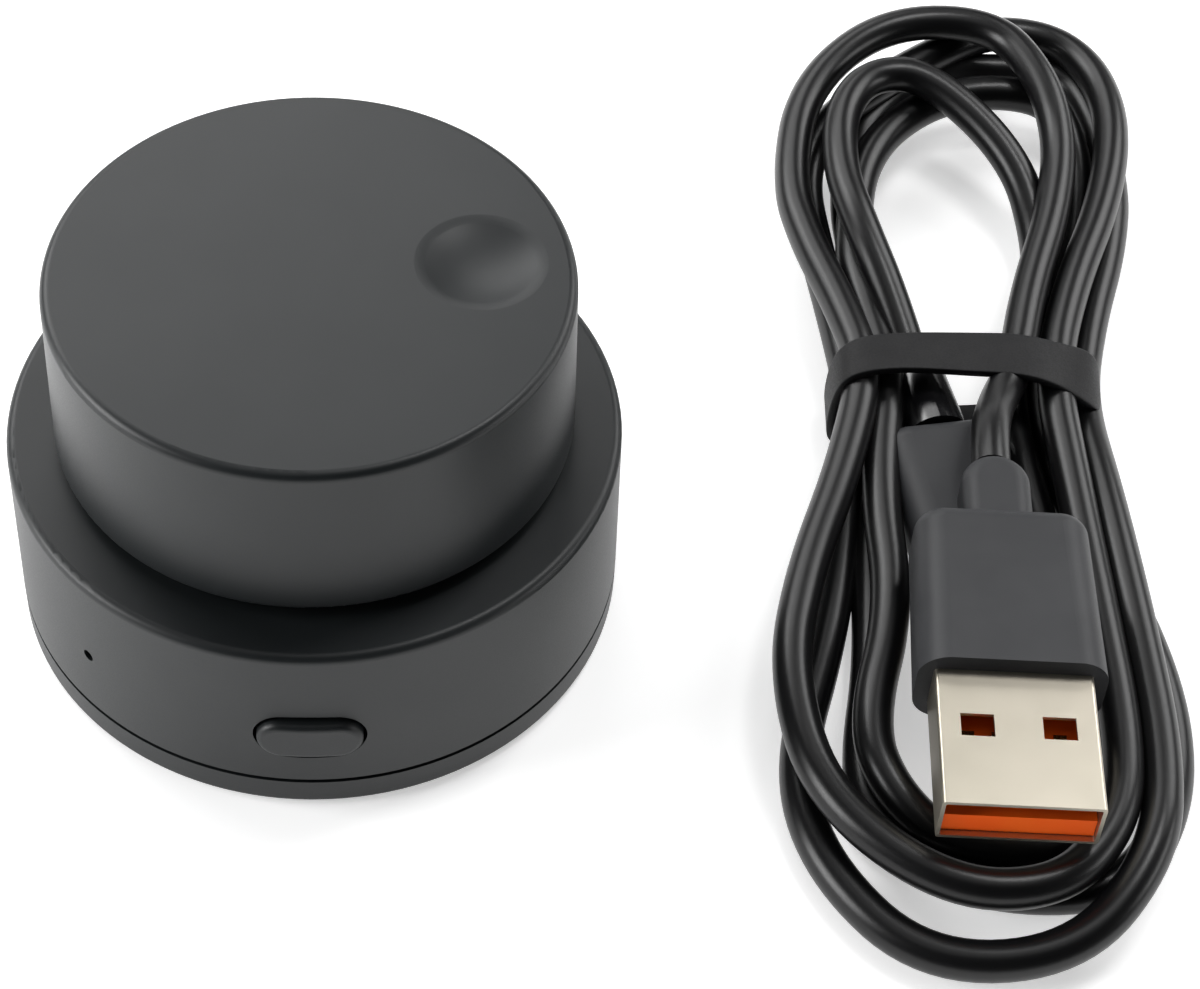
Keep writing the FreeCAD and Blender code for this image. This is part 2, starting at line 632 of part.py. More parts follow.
# ---- mode key ----
def mode_button():
    front = outer_radius(KEY_Z) + KEY_PROUD
    cap = bar(KEY_WIDTH, KEY_HEIGHT, KEY_HEIGHT, -front - OVERRUN, KEY_FLANGE_Y + BITE, KEY_Z)
    cap = cap.common(cylinder(front, KEY_Z - KEY_HEIGHT, KEY_Z + KEY_HEIGHT))
    cap = rounded(cap, KEY_ROUND, lambda edge: edge.BoundBox.YMax < -outer_radius(KEY_Z) + KEY_ROUND
                  and edge.BoundBox.YMax - edge.BoundBox.YMin < KEY_PROUD)
    flange = bar(2 * KEY_FLANGE_HALF, KEY_HEIGHT + 2 * KEY_LIP_HEIGHT, KEY_LIP,
                 KEY_FLANGE_Y, KEY_BACK_Y, KEY_Z)
    return cap.fuse(flange).removeSplitter()


def mode_switch():
    body = box(-SWITCH_WIDTH / 2, SWITCH_WIDTH / 2, SWITCH_FRONT_Y, SWITCH_FRONT_Y + SWITCH_DEPTH,
               BOARD_TOP_Z, BOARD_TOP_Z + SWITCH_HEIGHT)
    return body.cut(plunger_block(SLIP, SWITCH_FRONT_Y - OVERRUN, SWITCH_FRONT_Y + SWITCH_BORE_DEPTH))


def plunger_block(margin, y_from, y_to):
    half_width = PLUNGER_WIDTH / 2 + margin
    half_height = PLUNGER_HEIGHT / 2 + margin
    return box(-half_width, half_width, y_from, y_to, KEY_Z - half_height, KEY_Z + half_height)


def mode_switch_plunger():
    return plunger_block(0, KEY_BACK_Y, SWITCH_FRONT_Y + PLUNGER_BURIED)


# ---- rotary encoder ----
def encoder_case():
    half = ENCODER_SIDE / 2
    case = box(-half, half, -half, half, BOARD_TOP_Z, CASE_TOP_Z)
    rotor_room = cylinder(ROTOR_RADIUS + ROOM, BOARD_TOP_Z + ROTOR_SHELF, CASE_TOP_Z + OVERRUN)
    switch_room = cylinder(DOME_RADIUS + ROOM, DOME_BOTTOM_Z, CASE_TOP_Z)
    return cut_all(case, [rotor_room, switch_room])


def encoder_leads():
    """Three signal pins on one side and two switch pins on the other."""
    half = ENCODER_SIDE / 2
    width, thickness = PIN_SIZE
    leads = []
    for side, offsets in ((-1, (-1, 0, 1)), (1, (-1, 1))):
        y_from, y_to = sorted((side * half, side * (half + thickness)))
        for step in offsets:
            x_middle = step * PIN_PITCH
            leads.append(box(x_middle - width / 2, x_middle + width / 2, y_from, y_to,
                             BOARD_BOTTOM_Z - PIN_REACH, BOARD_TOP_Z + ENCODER_CASE_HEIGHT / 2))
    return leads


def encoder_lugs():
    """Two straps of the metal frame that hold the case down on the board."""
    half = ENCODER_SIDE / 2
    return [box(*sorted((side * half, side * (half + LUG_THICKNESS))), -LUG_WIDTH / 2, LUG_WIDTH / 2,
                BOARD_BOTTOM_Z - LUG_BELOW_BOARD, ENCODER_TOP_Z) for side in (-1, 1)]


def encoder_frame():
    half = ENCODER_SIDE / 2
    plate = box(-half, half, -half, half, CASE_TOP_Z, ENCODER_TOP_Z)
    bushing = cylinder(BUSHING_RADIUS, CASE_TOP_Z, BUSHING_TOP_Z)
    frame = fuse_all([plate, bushing] + encoder_lugs())
    clip_pocket = cylinder(CLIP_RADIUS + ROOM, CASE_TOP_Z - OVERRUN, POCKET_ROOF_Z)
    shaft_bore = cylinder(SHAFT_RADIUS + RUNNING, CASE_TOP_Z - OVERRUN, BUSHING_TOP_Z + OVERRUN)
    return cut_all(frame, [shaft_bore, clip_pocket])


def encoder_rotor():
    wheel = cylinder(ROTOR_RADIUS, ROTOR_Z, ROTOR_Z + ROTOR_THICKNESS)
    return wheel.cut(hexagon(TIP_RADIUS + SLIP, ROTOR_Z - OVERRUN, ROTOR_Z + ROTOR_THICKNESS + OVERRUN))


def detent_spring():
    low = ROTOR_Z + ROTOR_THICKNESS + RUNNING
    return ring(ROTOR_RADIUS + ROOM - FIT, ROTOR_RADIUS + ROOM - DETENT_WIDTH, low, low + DETENT_SHEET)


def push_stem():
    return cylinder(STEM_RADIUS, STEM_BOTTOM_Z, TIP_BOTTOM_Z)


def push_dome():
    """Shallow metal dome that snaps when the knob is pushed."""
    ball_radius = cap_ball_radius(DOME_RADIUS, DOME_HEIGHT)
    centre = Vector(0, 0, STEM_BOTTOM_Z - ball_radius)
    dome = Part.makeSphere(ball_radius, centre).cut(Part.makeSphere(ball_radius - DOME_SHEET, centre))
    return dome.common(cylinder(DOME_RADIUS, DOME_BOTTOM_Z, STEM_BOTTOM_Z + OVERRUN))


def encoder_shaft():
    tip = hexagon(TIP_RADIUS, TIP_BOTTOM_Z, SHAFT_BOTTOM_Z)
    rod = cylinder(SHAFT_RADIUS, SHAFT_BOTTOM_Z, SHAFT_TOP_Z)
    reach = SHAFT_RADIUS + OVERRUN
    flat = box(-reach, reach, SHAFT_FLAT, reach, HUB_BOTTOM_Z, SHAFT_TOP_Z + OVERRUN)
    groove = ring(reach, CLIP_GROOVE_RADIUS, *clip_heights())
    return cut_all(tip.fuse(rod).removeSplitter(), [flat, groove])


def clip_heights():
    top = POCKET_ROOF_Z - RUNNING
    return top - CLIP_THICKNESS, top


def shaft_clip():
    clip = ring(CLIP_RADIUS, CLIP_GROOVE_RADIUS + FIT, *clip_heights())
    return clip.cut(box(-CLIP_MOUTH / 2, CLIP_MOUTH / 2, -CLIP_RADIUS - OVERRUN, 0, *clip_heights()))


def encoder_washer():
    return ring(WASHER_RADIUS, BUSHING_RADIUS + SLIP, BASE_HEIGHT, NUT_BOTTOM_Z)


def encoder_nut():
    corner_radius = NUT_FLATS / math.sqrt(3)
    nut = hexagon(corner_radius, NUT_BOTTOM_Z, NUT_TOP_Z)
    return nut.cut(cylinder(BUSHING_RADIUS + FIT, NUT_BOTTOM_Z - OVERRUN, NUT_TOP_Z + OVERRUN))


# ---- knob ----
def knob_cap():
    cap = Part.makeCone(KNOB_RADIUS, KNOB_TOP_RADIUS, KNOB_HEIGHT, Vector(0, 0, KNOB_BOTTOM_Z))
    cap = rounded(cap, KNOB_EDGE_ROUND, flat_at(KNOB_TOP_Z))
    cap = rounded(cap, KNOB_LIP_ROUND, flat_at(KNOB_BOTTOM_Z))
    cap = cap.cut(cylinder(KNOB_BORE_RADIUS, KNOB_BOTTOM_Z - OVERRUN, KNOB_CEILING_Z))
    cap = cap.cut(dimple_ball())
    return rounded(cap, DIMPLE_RIM_ROUND, lambda edge: flat_at(KNOB_TOP_Z)(edge)
                   and edge.BoundBox.DiagonalLength < KNOB_TOP_RADIUS)


def dimple_ball():
    ball_radius = cap_ball_radius(DIMPLE_RADIUS, DIMPLE_DEPTH)
    place = polar(KNOB_TOP_RADIUS - DIMPLE_INSET, DIMPLE_ANGLE, KNOB_TOP_Z - DIMPLE_DEPTH + ball_radius)
    return Part.makeSphere(ball_radius, place)


def knob_hub():
    flange = cylinder(KNOB_BORE_RADIUS - FIT, HUB_FLANGE_Z, KNOB_CEILING_Z)
    boss = cylinder(HUB_RADIUS, HUB_BOTTOM_Z, HUB_FLANGE_Z + BITE)
    ribs = around(lambda: box(0, RIB_REACH, -RIB_THICKNESS / 2, RIB_THICKNESS / 2,
                              HUB_FLANGE_Z - RIB_DEPTH, HUB_FLANGE_Z + BITE),
                  [360 / HUB_RIBS * step for step in range(HUB_RIBS)])
    hub = fuse_all([flange, boss] + ribs)
    socket = cylinder(SHAFT_RADIUS + FIT, HUB_BOTTOM_Z - OVERRUN, SOCKET_TOP_Z)
    reach = SHAFT_RADIUS + OVERRUN
    flat = box(-reach, reach, SHAFT_FLAT + FIT, reach, HUB_BOTTOM_Z - OVERRUN, SOCKET_TOP_Z)
    return hub.cut(socket.cut(flat))


# ---- cable ----
def placed(shape, mouth, yaw):
    """Plugs are made with the mouth of the overmould at the origin, pointing to -Y, then laid down."""
    shape.rotate(Vector(0, 0, 0), UP, yaw)
    shape.translate(mouth)
    return shape


def soft_block(front_width, back_width, height, length, corner, shoulder):
    """Overmould: a bar along Y that narrows towards its back, with round long edges and shoulders."""
    half = height / 2
    front = front_width / 2
    back = back_width / 2
    corners = [Vector(-front, 0, -half), Vector(front, 0, -half), Vector(back, length, -half),
               Vector(-back, length, -half), Vector(-front, 0, -half)]
    block = Part.Face(Part.makePolygon(corners)).extrude(Vector(0, 0, height))
    block = rounded(block, corner, lambda edge: edge.BoundBox.ZLength < 1e-3 and edge.BoundBox.YLength > 1e-3)
    return rounded(block, shoulder, lambda edge: edge.BoundBox.YMin > length - 1e-3)


def plug_a_body():
    body = soft_block(A_BODY_WIDTH, A_BODY_BACK_WIDTH, A_BODY_HEIGHT, A_BODY_LENGTH, A_BODY_ROUND,
                      A_SHOULDER_ROUND)
    radius = A_NECK_WIDTH / 2
    high = A_NECK_HEIGHT / 2
    y_middle = A_BODY_LENGTH + A_NECK_LENGTH - radius
    neck = box(-radius, radius, A_BODY_LENGTH - OVERRUN, y_middle, -high, high)
    neck = neck.fuse(cylinder(radius, -high, high, Vector(0, y_middle, 0))).removeSplitter()
    neck = rounded(neck, A_NECK_ROUND, flat_at(high))
    neck = rounded(neck, A_NECK_ROUND, flat_at(-high))
    return placed(body.fuse(neck).removeSplitter(), Vector(A_MOUTH), A_YAW).cut(cable_lead())


def cord_socket():
    """Place inside the USB-A plug's neck where the cord begins."""
    socket = Part.Vertex(0, A_BODY_LENGTH + A_NECK_LENGTH - CORD_ENTRY, 0)
    return placed(socket, Vector(A_MOUTH), A_YAW).Point


def plug_a_shell():
    tube = bar(A_SHELL_WIDTH, A_SHELL_HEIGHT, A_SHEET, -A_SHELL_LENGTH, 0)
    bore = bar(A_SHELL_WIDTH - 2 * A_SHEET, A_SHELL_HEIGHT - 2 * A_SHEET, A_SHEET / 2,
               -A_SHELL_LENGTH - OVERRUN, OVERRUN)
    width, length = A_WINDOW
    y_middle = A_WINDOW_BACK - A_SHELL_LENGTH
    windows = [box(side * A_WINDOW_SPREAD / 2 - width / 2, side * A_WINDOW_SPREAD / 2 + width / 2,
                   y_middle - length / 2, y_middle + length / 2, -A_SHELL_HEIGHT, A_SHELL_HEIGHT)
               for side in (-1, 1)]
    return placed(cut_all(tube, [bore] + windows), Vector(A_MOUTH), A_YAW)


def a_tongue_heights():
    """The tongue fills the lower part of the shell."""
    low = -A_SHELL_HEIGHT / 2 + A_SHEET + RUNNING
    return low, low + A_TONGUE_THICKNESS


def plug_a_tongue():
    low, high = a_tongue_heights()
    half = A_SHELL_WIDTH / 2 - A_SHEET - RUNNING
    tongue = box(-half, half, A_TONGUE_BACK - A_SHELL_LENGTH, 0, low, high)
    return placed(tongue, Vector(A_MOUTH), A_YAW)


def plug_a_contacts():
    width, length, thickness = A_CONTACT_SIZE
    high = a_tongue_heights()[1]
    y_from = A_TONGUE_BACK + A_CONTACT_BACK - A_SHELL_LENGTH
    strips = []
    for index in range(A_CONTACT_COUNT):
        x_middle = (index - (A_CONTACT_COUNT - 1) / 2) * A_CONTACT_PITCH
        strip = box(x_middle - width / 2, x_middle + width / 2, y_from, y_from + length,
                    high, high + thickness)
        strips.append(placed(strip, Vector(A_MOUTH), A_YAW))
    return strips


def plug_c_body():
    body = soft_block(C_BODY_WIDTH, C_BODY_WIDTH, C_BODY_HEIGHT, C_BODY_LENGTH, C_BODY_ROUND,
                      C_SHOULDER_ROUND)
    return placed(body, Vector(C_MOUTH), C_YAW)


def plug_c_boot():
    boot = Part.makeCone(C_BOOT_RADIUS, C_BOOT_END_RADIUS, C_BOOT_LENGTH, Vector(0, C_BODY_LENGTH, 0),
                         Vector(0, 1, 0))
    return placed(boot, Vector(C_MOUTH), C_YAW)


def plug_c_shell():
    tube = bar(C_SHELL_WIDTH, C_SHELL_HEIGHT, C_SHELL_HEIGHT, -C_SHELL_LENGTH, 0)
    bore = bar(C_SHELL_WIDTH - 2 * C_SHEET, C_SHELL_HEIGHT - 2 * C_SHEET, C_SHELL_HEIGHT,
               -C_SHELL_LENGTH - OVERRUN, OVERRUN)
    return placed(tube.cut(bore), Vector(C_MOUTH), C_YAW)


def plug_c_insert():
    """Insulator with the slot that the port's tongue enters."""
    width = C_SHELL_WIDTH - 2 * C_SHEET - 2 * FIT
    height = C_SHELL_HEIGHT - 2 * C_SHEET - 2 * FIT
    insert = bar(width, height, height, ROOM - C_SHELL_LENGTH, 0)
    half_width = TONGUE_WIDTH / 2 + SLIP
    half_height = TONGUE_THICKNESS / 2 + SLIP
    slot = box(-half_width, half_width, -C_SHELL_LENGTH, TONGUE_LENGTH - C_SHELL_LENGTH,
               -half_height, half_height)
    return placed(insert.cut(slot), Vector(C_MOUTH), C_YAW)


def rounded_path(points):
    """Straight runs joined by tangent arcs as large as the runs allow, and the arcs' radii."""
    edges = []
    radii = []
    start = points[0]
    for before, corner, after in zip(points, points[1:], points[2:]):
        back = (before - corner).normalize()
        ahead = (after - corner).normalize()
        reach = 0.45 * min((before - corner).Length, (after - corner).Length)
        half_turn = (math.pi - back.getAngle(ahead)) / 2
        radius = reach / math.tan(half_turn)
        middle = corner + (back + ahead).normalize() * (radius / math.cos(half_turn) - radius)
        enter, leave = corner + back * reach, corner + ahead * reach
        edges += [Part.LineSegment(start, enter).toShape(), Part.Arc(enter, middle, leave).toShape()]
        radii.append(radius)
        start = leave
    edges.append(Part.LineSegment(start, points[-1]).toShape())
    return Part.Wire(edges), radii


def lead_points():
    return [cord_socket()] + [Vector(*place) for place in LEAD_ROUTE]


def cable_lead():
    points = lead_points()
    section = Part.Wire(Part.makeCircle(CORD_DIAMETER / 2, points[0], points[1] - points[0]))
    return rounded_path(points)[0].makePipeShell([section], True, False)


def report_lead():
    """Print the lead's bend radii, and its volume over its section times its length."""
    path, radii = rounded_path(lead_points())
    expected = math.pi * CORD_DIAMETER ** 2 / 4 * path.Length
    print("cable_lead: arc radii", [round(radius, 1) for radius in radii],
          f"volume ratio {cable_lead().Volume / expected:.4f}")


def closed_curve(places, height):
    """Upright wall round a smooth closed curve through the places."""
    curve = Part.BSplineCurve()
    curve.interpolate([Vector(*place, 0) for place in places], PeriodicFlag=True)
    return Part.Face(Part.Wire(curve.toShape())).extrude(Vector(0, 0, height))


def band_block(shrink):
    """The band's outer block, or what it holds when shrunk by its thickness."""
    block = bar(BAND_SPAN - 2 * shrink, BAND_HEIGHT - 2 * shrink, BAND_ROUND - shrink,
                -BAND_WIDTH / 2, BAND_WIDTH / 2, BAND_HEIGHT / 2)
    return placed(block, Vector(BAND_MIDDLE), BAND_YAW)


def cable_band():
    return band_block(0).cut(band_block(BAND_THICKNESS))


def cable_hank():
    """One solid with the outer shape of the bundle, narrowed where the band holds it."""
    bundle = closed_curve(HANK_EDGE, HANK_HEIGHT)
    bundle = rounded(bundle, HANK_ROUND, flat_at(HANK_HEIGHT))
    bundle = rounded(bundle, HANK_ROUND, flat_at(0))
    for eye in (UPPER_EYE, LOWER_EYE):
        bundle = bundle.cut(closed_curve(eye, HANK_HEIGHT))
    held = [cable_band(), cable_lead(), plug_c_body(), plug_c_boot(), plug_a_body(), plug_a_shell()]
    bundle = cut_all(bundle, held)
    return max(bundle.Solids, key=lambda solid: solid.Volume)


# ---- every piece by name ----
PIECES = {
    "base_shell": base_shell,
    "bottom_cover": bottom_cover,
    "foot_pad": foot_pad,
    "ballast_ring": ballast_ring,
    "cover_screws": lambda: around(cover_screw, COVER_POST_ANGLES),
    "main_board": main_board,
    "board_screws": lambda: around(board_screw, BOARD_POST_ANGLES),
    "controller_chip": controller_chip,
    "board_parts": board_parts,
    "indicator_led": indicator_led,
    "light_pipe": light_pipe,
    "usb_port_shell": usb_port_shell,
    "usb_port_insulator": usb_port_insulator,
    "usb_port_contacts": usb_port_contacts,
    "mode_button": mode_button,
    "mode_switch": mode_switch,
    "mode_switch_plunger": mode_switch_plunger,
    "encoder_case": encoder_case,
    "encoder_pins": encoder_leads,
    "encoder_frame": encoder_frame,
    "encoder_rotor": encoder_rotor,
    "detent_spring": detent_spring,
    "push_stem": push_stem,
    "push_dome": push_dome,
    "encoder_shaft": encoder_shaft,
    "shaft_clip": shaft_clip,
    "encoder_washer": encoder_washer,
    "encoder_nut": encoder_nut,
    "knob_cap": knob_cap,
    "knob_hub": knob_hub,
    "cable_hank": cable_hank,
    "cable_lead": cable_lead,
    "cable_band": cable_band,
    "plug_a_body": plug_a_body,
    "plug_a_shell": plug_a_shell,
    "plug_a_tongue": plug_a_tongue,
    "plug_a_contacts": plug_a_contacts,
    "plug_c_body": plug_c_body,
    "plug_c_boot": plug_c_boot,
    "plug_c_shell": plug_c_shell,
    "plug_c_insert": plug_c_insert,
}


def main():
    os.makedirs("parts", exist_ok=True)
    for name, maker in PIECES.items():
        piece = maker()
        if isinstance(piece, list):
            piece = Part.makeCompound(piece)
        piece.exportStep(os.path.join("parts", name + ".step"))
        print(f"{name}: {len(piece.Solids)} solids, {piece.Volume:.1f} mm3, valid {piece.isValid()}")
    report_lead()


main()
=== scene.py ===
"""A USB volume control knob and its folded USB-A to USB-C cable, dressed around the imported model.

Lengths are written in millimetres, in the part's own frame, and turned into metres where they are used.
The lights and the floor's size are the exception: they are written in metres.
"""
import json

import bpy
from mathutils import Matrix, Vector


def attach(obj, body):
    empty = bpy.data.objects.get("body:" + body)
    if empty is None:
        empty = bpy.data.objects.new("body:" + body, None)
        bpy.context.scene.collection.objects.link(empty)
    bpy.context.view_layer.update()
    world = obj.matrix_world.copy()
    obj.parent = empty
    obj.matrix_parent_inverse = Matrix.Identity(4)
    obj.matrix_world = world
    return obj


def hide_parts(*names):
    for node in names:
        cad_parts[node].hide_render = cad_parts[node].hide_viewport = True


MM = 0.001

# ---- camera ----
CAMERA_PLACE = (9.301, -147.843, 182.83)
CAMERA_RIGHT = (0.99839, -0.03224, 0.04665)
CAMERA_UP = (-0.00562, 0.7624, 0.64708)
CAMERA_AHEAD = (0.05643, 0.64631, -0.76099)
CAMERA_LENS = 86.25
CAMERA_SENSOR = 36.0
CAMERA_NEAREST = 10
CAMERA_FARTHEST = 10000

# ---- floor: a lit white table ----
FLOOR_REACH = 3.0           # metres from the middle to each side
FLOOR_DROP = 0.05           # below the object's underside
FLOOR_DARK = (.93, .93, .93)
FLOOR_LIGHT = (.96, .96, .96)
FLOOR_COLOUR_SIZE = 60
FLOOR_ROUGHNESS = 0.9
FLOOR_GLOW = 0.48

# ---- lights ----
WHITE = (1.0, 1.0, 1.0, 1.0)
STUDIO_GLOW = 0.02          # the room around the table
# Each light: its name, place, the point it faces, its width and height, and its power in watts.
LIGHTS = (
    ("top_softbox", (0.03, 0.02, 0.62), (0.03, 0.01, 0.0), (0.50, 0.40), 0.4),
    ("back_softbox", (-0.15, 0.50, 0.45), (0.02, 0.01, 0.0), (0.50, 0.30), 1.7),
    ("back_left_softbox", (-0.40, 0.40, 0.40), (0.0, 0.01, 0.0), (0.30, 0.30), 1.5),
    ("back_right_softbox", (0.45, 0.35, 0.35), (0.0, 0.01, 0.0), (0.30, 0.30), 1.5),
    ("left_softbox", (-0.50, -0.05, 0.22), (0.0, 0.0, 0.02), (0.30, 0.30), 2.8),
    ("key_lamp", (0.21, 0.165, 0.60), (0.02, 0.0, 0.03), (0.16, 0.16), 1.0),
    ("right_strip", (0.50, -0.05, 0.16), (0.0, 0.0, 0.02), (0.30, 0.12), 0.5),
    ("far_strip", (0.02, 0.90, 0.14), (0.02, 0.0, 0.0), (0.80, 0.12), 0.5),
)

# ---- the cord ----
CORD_DIAMETER = 3.2
CORD_ROUNDNESS = 8          # extra facets in each half of the cord's outline
CORD_STEPS = 10             # lengths of cord between two of its points
LEAD_START = (53.67, 1.86, 10.05)      # where the cord leaves the USB-A plug's neck
LEAD_ROUTE = ((54.0, 5.9, 9.8), (55.6, 11.3, 7.4))
# The folds' feet: where the cord passes under the band.
FEET = {
    "a_right": (58, 16.2, 6.3), "a_left": (45.4, 16.2, 6.2), "b_right": (61.2, 16.2, 5.5),
    "b_left": (44.8, 16.2, 2.2), "c_right": (61, 16.2, 2.1), "c_left": (47.9, 16.2, 2.1),
    "d_right": (64.1, 16.2, 2.2), "d_left": (47.4, 16.2, 5.0), "e_right": (57.8, 16.2, 2.2),
    "e_left": (50.2, 16.9, 3.4),
}
# Each fold, from one foot out to its far end and back to another foot:
# - first foot, bulge on that side, far end, bulge on the other side, second foot
# - how full its shoulders are: sideways and lengthways on the first side, then on the second
# - its heights, from near the first foot round to near the second
# - how far it has swung out sideways at the low and the high bend of the first leg, then at the high and
#   the low bend of the second
FOLDS = (
    ("a_right", (65.8, 44.6), (58.4, 59.6), (40.5, 39.3), "a_left", (.63, .50, .57, .59),
     (6.2, 6.2, 7.5, 7.5, 7.3, 6.4, 5.6, 5.9), (.30, .76, .76, .30)),
    ("a_left", (36.3, -15.4), (51.4, -34.7), (61.8, -21.2), "b_right", (.68, .58, .62, .56),
     (5.9, 5.6, 5.3, 5.2, 5.2, 5.4, 5.6, 5.6), (.30, .76, .76, .30)),
    ("b_right", (71.6, 48.4), (65.6, 62.0), (42.4, 44.3), "b_left", (.76, .64, .75, .34),
     (5.2, 4.8, 4.2, 3.9, 4.2, 4.2, 1.8, 2.0), (.30, .76, .76, .30)),
    ("b_left", (36.6, -21.4), (49.2, -39.0), (64.8, -22.8), "d_right", (.67, .52, .55, .55),
     (2.0, 1.8, 1.7, 1.7, 2.8, 5.1, 5.0, 4.6), (.22, .54, .76, .20)),
    ("d_right", (71.4, 44.1), (61.7, 59.4), (46.2, 41.0), "c_left", (.52, .84, .68, .57),
     (1.9, 1.7, 1.7, 1.7, 1.7, 1.7, 1.8, 1.9), (.30, .76, .76, .30)),
    ("c_left", (41.6, -22.5), (55.9, -32.9), (67.1, -16.6), "c_right", (.56, .50, .55, .54),
     (1.8, 1.7, 1.7, 1.7, 1.7, 1.7, 1.7, 1.8), (.54, .60, .76, .10)),
    ("c_right", (68.2, 44.8), (64.3, 53.2), (45.6, 32.0), "d_left", (.62, .59, .58, .62),
     (1.9, 1.8, 2.4, 4.3, 4.5, 4.7, 4.6, 4.6), (.30, .76, .76, .35)),
    ("d_left", (42.2, -19.5), (54.3, -29.4), (61.0, -18.0), "e_right", (.48, .61, .60, .58),
     (4.5, 4.6, 4.2, 2.6, 1.7, 1.7, 1.7, 1.9), (.38, .34, .76, .30)),
    ("e_right", (63.2, 34.2), (50.8, 51.7), (44.9, 39.0), "e_left", (.72, .52, .68, .61),
     (2.2, 2.6, 5.4, 7.8, 7.9, 7.9, 7.7, 5.6), (.30, .76, .76, .30)),
)

# Where a leg's two bends are on the way from foot to bulge, and how far in towards the tip a shoulder is.
LOW_BEND = 0.33
HIGH_BEND = 0.68
SHOULDER_INSET = 0.12

# ---- the band ----
BAND_THICKNESS = 0.7
BAND_EDGE_ROUND = 0.12
BAND_SMOOTHING = 3          # rounds of subdivision
# Places along the band's loop, each with its near and far edge: up the left side, over the folds, down the
# right side and back along the floor.
BAND_STATIONS = (
    ((42.5, 13.0, 0.4), (42.7, 17.0, 0.4)), ((42.4, 13.2, 3.4), (42.5, 17.2, 3.4)),
    ((42.8, 13.5, 7.0), (42.9, 17.4, 7.0)), ((44.5, 13.8, 8.3), (44.5, 17.8, 8.35)),
    ((48.2, 14.5, 8.0), (48.3, 18.5, 8.1)), ((52.0, 14.4, 7.8), (52.5, 18.7, 7.9)),
    ((55.0, 14.0, 8.0), (55.5, 18.5, 8.1)), ((58.2, 13.7, 8.2), (58.5, 18.3, 8.3)),
    ((61.3, 13.1, 7.4), (62.0, 17.8, 7.6)), ((64.0, 13.1, 5.2), (64.6, 18.3, 6.4)),
    ((65.3, 13.9, 3.4), (65.7, 18.4, 4.2)), ((66.0, 15.3, 0.9), (65.9, 18.8, 1.0)),
    ((64.6, 15.2, 0.4), (64.5, 18.2, 0.4)), ((54.2, 14.2, 0.4), (54.2, 17.0, 0.4)),
    ((44.2, 13.1, 0.4), (44.2, 17.0, 0.4)),
)

# ---- finishes ----
# Each finish: its darkest and lightest colour, the size of its patches of colour, its least and greatest
# roughness, the size and depth of its grain, and what else its shader needs.
FINISHES = {
    "base_finish": ((.007, .009, .010), (.010, .012, .013), 9, (.38, .46), .09, .004, {"specular": .40}),
    "knob_finish": ((.008, .010, .011), (.011, .013, .014), 11, (.36, .44), .09, .004, {"specular": .40}),
    "key_finish": ((.007, .009, .010), (.010, .012, .013), 4, (.40, .48), .09, .004, {"specular": .40}),
    "foot_rubber": ((.012, .012, .013), (.020, .020, .021), 3, (.75, .90), .25, .02, {}),
    "steel": ((.48, .48, .49), (.58, .58, .59), 5, (.22, .38), .2, .004, {"metallic": 1.0}),
    "spring_steel": ((.50, .49, .47), (.60, .59, .56), 3, (.18, .30), .15, .003, {"metallic": 1.0}),
    "zinc_frame": ((.42, .43, .44), (.52, .53, .54), 2, (.35, .55), .18, .008, {"metallic": 1.0}),
    "circuit_board": ((.008, .050, .022), (.012, .070, .030), 4, (.30, .45), .3, .01, {"coat": .3}),
    "chip_resin": ((.014, .014, .015), (.022, .022, .023), 1, (.45, .60), .08, .006, {}),
    "small_parts": ((.30, .24, .17), (.42, .35, .26), 1, (.35, .55), .12, .004, {}),
    "led_resin": ((.70, .66, .50), (.80, .77, .62), .8, (.20, .32), .1, .003, {}),
    "smoked_clear": ((.010, .010, .011), (.016, .016, .017), 1, (.10, .18), .1, .001, {}),
    "nickel": ((.47, .435, .36), (.50, .46, .385), 9, (.34, .38), 2.0, .0002, {"metallic": 1.0}),
    "black_nylon": ((.012, .012, .013), (.020, .020, .021), 2, (.45, .60), .12, .006, {}),
    "gold_contacts": ((.78, .55, .20), (.88, .65, .28), 1, (.18, .30), .1, .001, {"metallic": 1.0}),
    "hub_plastic": ((.20, .20, .20), (.27, .27, .27), 4, (.45, .60), .15, .006, {}),
    "cable_jacket": ((.003, .003, .0034), (.0045, .0045, .005), 12, (.28, .36), .14, .002,
                     {"specular": .38}),
    "plug_rubber": ((.022, .023, .026), (.028, .029, .032), 5, (.46, .56), .10, .006, {"specular": .42}),
    "boot_rubber": ((.005, .005, .006), (.008, .008, .009), 4, (.16, .24), .14, .002, {"specular": .60}),
    "band_rubber": ((.004, .004, .005), (.008, .008, .009), 3, (.50, .66), .16, .010, {"specular": .30}),
    "orange_plastic": ((.98, .115, .004), (1.0, .135, .006), 3, (.40, .50), .12, .003, {"specular": .30}),
}
# Noise keeps near the middle of its range, so colour and gloss change only between these shares of it.
COLOUR_FROM, COLOUR_TO = 0.35, 0.65
GLOSS_FROM, GLOSS_TO = 0.3, 0.7
COLOUR_DETAIL = 2.0
GRAIN_DETAIL = 3.0


def between(start, end, share):
    return start + (end - start) * share


